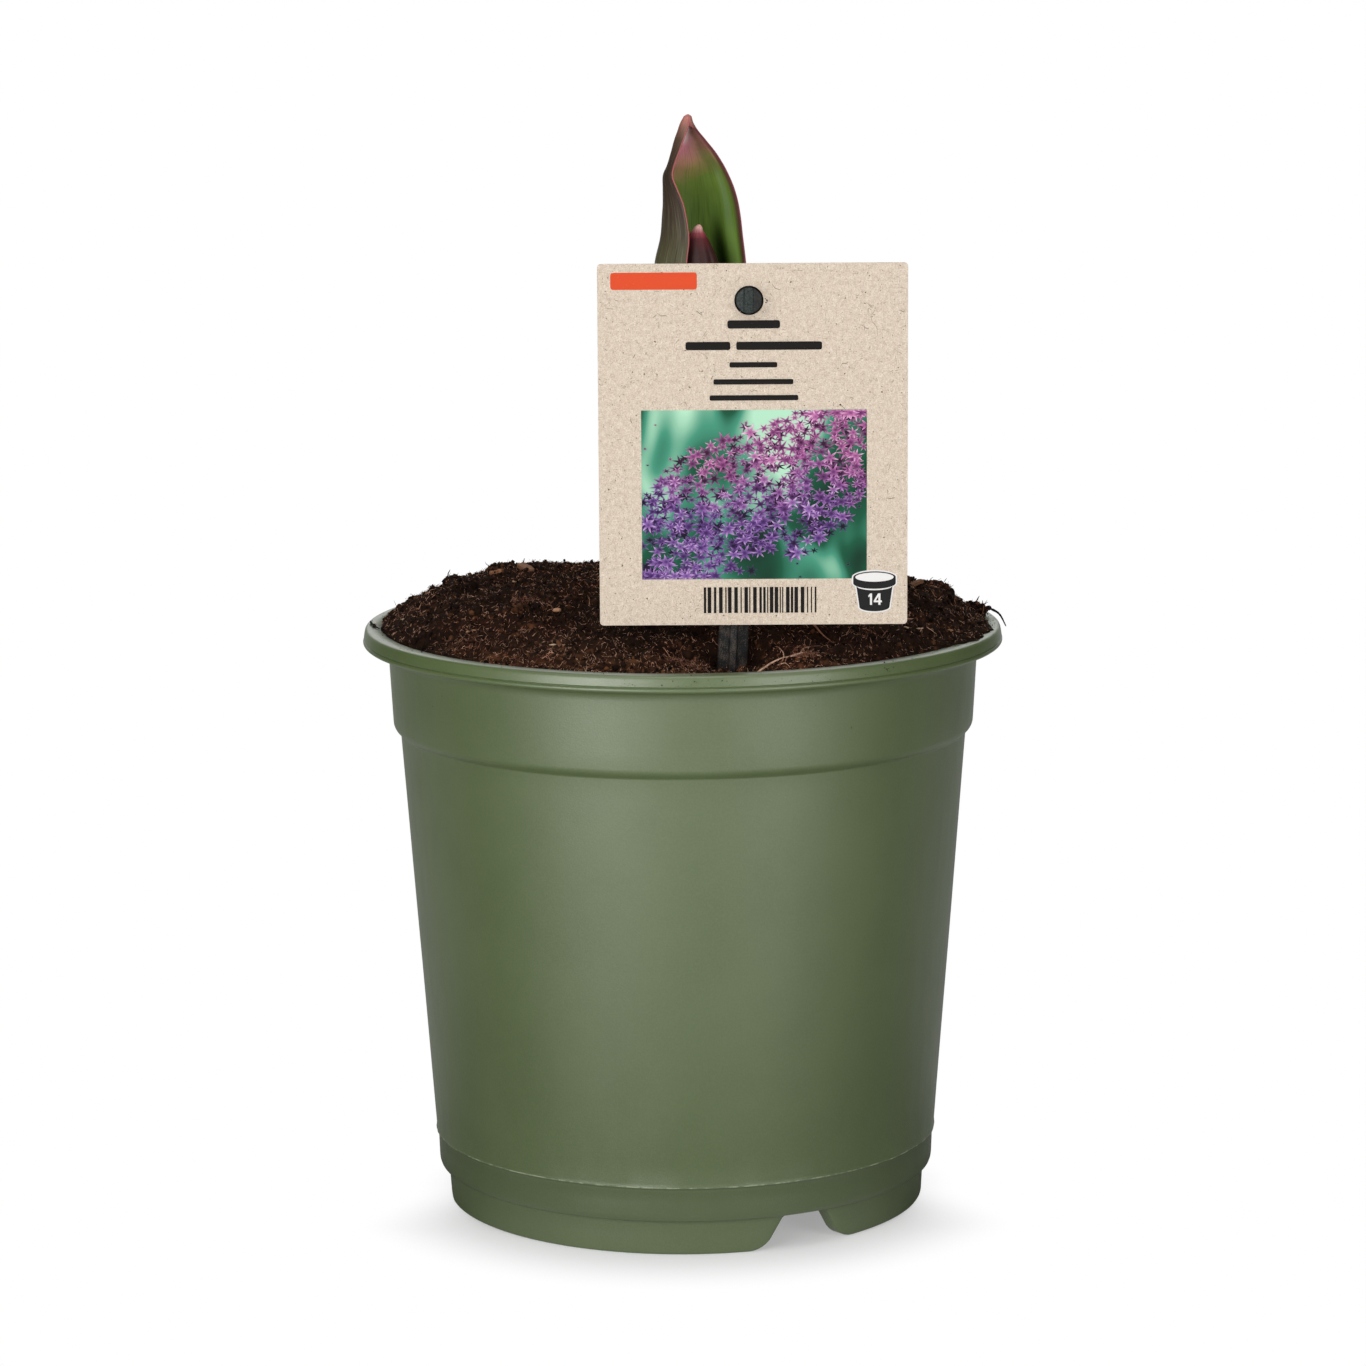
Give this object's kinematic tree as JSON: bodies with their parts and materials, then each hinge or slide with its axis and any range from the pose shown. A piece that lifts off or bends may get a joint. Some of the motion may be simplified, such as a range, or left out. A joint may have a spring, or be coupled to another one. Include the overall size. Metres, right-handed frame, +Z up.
{
  "type": "potted ornamental onion shoot",
  "caption": "Young ornamental onion shoot in peat, in a round plastic nursery pot with a notched foot ring, with a label card on a ribbed stake.",
  "frame": {"origin": "centre of the pot's foot ring, in the plane it stands on", "axes": "+Z up through the pot; -Y is the front, the side the label card faces; +X is to the right seen from the front"},
  "size_m": [0.1417, 0.14, 0.238],
  "materials": {
    "pot_plastic": "sage green moulded plastic with a satin surface and fine grain",
    "peat": "dark brown fibrous peat, matte and crumbly",
    "bulb_skin": "thin dry pale brown tunic",
    "root": "pale fleshy root, slightly rough",
    "outer_leaf": "waxy green leaf with a mauve bloom, pink tip and pink edges",
    "inner_leaf": "waxy maroon leaf with a pink tip",
    "label_card": null,
    "stake_plastic": "charcoal ribbed plastic, dusty with peat",
    "wood_chip": "torn reddish brown wood",
    "dry_fibre": "dry pale brown fibre",
    "dark_twig": "nearly black damp twig"
  },
  "bodies": {
    "root": {"pot": "pot_plastic", "soil": "peat", "bulb": "bulb_skin", "root_1": "root", "root_2": "root", "root_3": "root", "root_4": "root", "root_5": "root", "root_6": "root", "outer_leaf": "outer_leaf", "inner_leaf": "inner_leaf", "label_card": "label_card", "label_stake": "stake_plastic", "peat_clod_crest": "peat", "peat_clod_left": "peat", "peat_clod_right": "peat", "peat_clod_rim": "peat", "peat_clod_front": "peat", "wood_chip_tan": "wood_chip", "wood_chip_amber": "wood_chip", "bark_flake": "wood_chip", "root_sprig": "dry_fibre", "dry_stem": "dry_fibre", "rim_twig": "dark_twig"}
  },
  "joints": []
}
